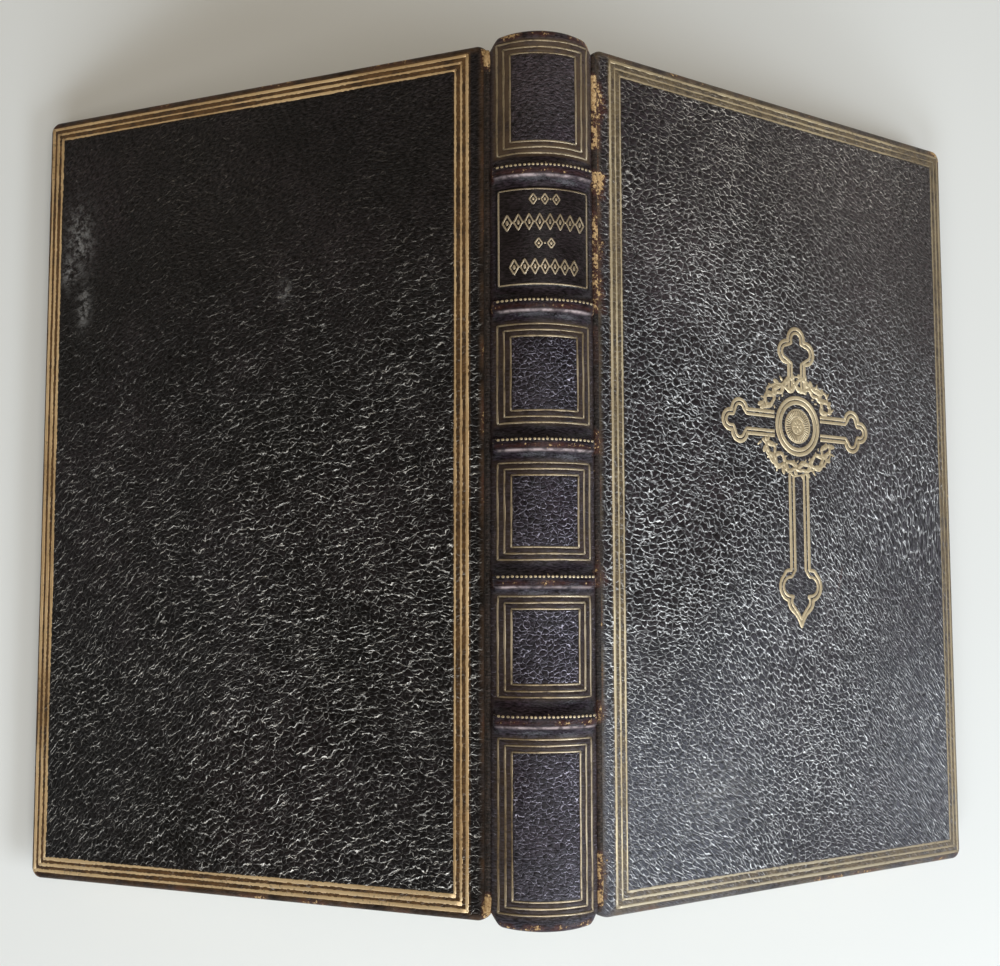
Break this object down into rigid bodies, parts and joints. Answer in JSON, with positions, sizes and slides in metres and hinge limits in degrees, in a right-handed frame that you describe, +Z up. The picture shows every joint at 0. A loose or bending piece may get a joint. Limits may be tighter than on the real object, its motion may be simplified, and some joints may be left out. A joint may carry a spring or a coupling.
{
  "type": "prayer book",
  "caption": "Small leather-bound prayer book lying open face down, with raised bands, gilt fillets and a gilt cross; the covers and both halves of the leaves hinge at the spine.",
  "frame": {"origin": "centre of the book's footprint on the surface it stands on", "axes": "+Z up through the spine's crown, +Y along the spine towards the head, +X towards the fore edge of the front cover"},
  "size_m": [0.206, 0.1668, 0.0663],
  "materials": {
    "covering_leather": "satin",
    "label_leather": "satin",
    "joint_leather": "satin",
    "gilt": "satin",
    "lining_paper": "matte",
    "mull": "matte",
    "cord": "matte",
    "headband": "satin",
    "text_paper": "matte",
    "endpaper": "matte",
    "millboard": "matte"
  },
  "bodies": {
    "spine": {"spine_leather": "covering_leather", "title_label": "label_leather", "spine_gilt_frames": "gilt", "spine_paper_lining": "lining_paper", "spine_mull": "mull", "sewing_cords": "cord", "headband_head": "headband", "headband_tail": "headband", "front_joint_leather": "joint_leather", "back_joint_leather": "joint_leather"},
    "front_leaves": {"front_section_1": "text_paper", "front_section_2": "text_paper", "front_section_3": "text_paper", "front_section_4": "text_paper", "front_section_5": "text_paper", "front_section_6": "text_paper", "front_section_7": "text_paper", "front_section_8": "text_paper"},
    "front_endleaf": {"front_flyleaf": "endpaper"},
    "front_cover": {"front_board": "millboard", "front_cover_leather": "covering_leather", "front_pastedown": "endpaper", "front_gilt_border": "gilt", "front_gilt_cross": "gilt"},
    "back_leaves": {"back_section_1": "text_paper", "back_section_2": "text_paper", "back_section_3": "text_paper", "back_section_4": "text_paper", "back_section_5": "text_paper", "back_section_6": "text_paper", "back_section_7": "text_paper", "back_section_8": "text_paper"},
    "back_endleaf": {"back_flyleaf": "endpaper"},
    "back_cover": {"back_board": "millboard", "back_cover_leather": "covering_leather", "back_pastedown": "endpaper", "back_gilt_border": "gilt"}
  },
  "joints": [
    {"name": "front_leaves_hinge", "type": "hinge", "parent": "spine", "child": "front_leaves", "pos_m": [0.0102, 0, 0.05959], "axis": [0, 1, 0], "range_deg": [0, 59.8]},
    {"name": "front_cover_hinge", "type": "hinge", "parent": "front_leaves", "child": "front_cover", "pos_m": [0.0102, 0, 0.05959], "axis": [0, -1, 0], "range_deg": [0, 120]},
    {"name": "back_leaves_hinge", "type": "hinge", "parent": "spine", "child": "back_leaves", "pos_m": [-0.0102, 0, 0.05959], "axis": [0, -1, 0], "range_deg": [0, 59.8]},
    {"name": "back_cover_hinge", "type": "hinge", "parent": "back_leaves", "child": "back_cover", "pos_m": [-0.0102, 0, 0.05959], "axis": [0, 1, 0], "range_deg": [0, 120]},
    {"name": "front_endleaf_hinge", "type": "hinge", "parent": "front_leaves", "child": "front_endleaf", "pos_m": [0.0102, 0, 0.05959], "axis": [0, -1, 0], "range_deg": [0, 60]},
    {"name": "back_endleaf_hinge", "type": "hinge", "parent": "back_leaves", "child": "back_endleaf", "pos_m": [-0.0102, 0, 0.05959], "axis": [0, 1, 0], "range_deg": [0, 60]}
  ],
  "couplings": [
    {"joint": "front_endleaf_hinge", "follows": "front_cover_hinge", "ratio": 0.5},
    {"joint": "back_endleaf_hinge", "follows": "back_cover_hinge", "ratio": 0.5}
  ]
}
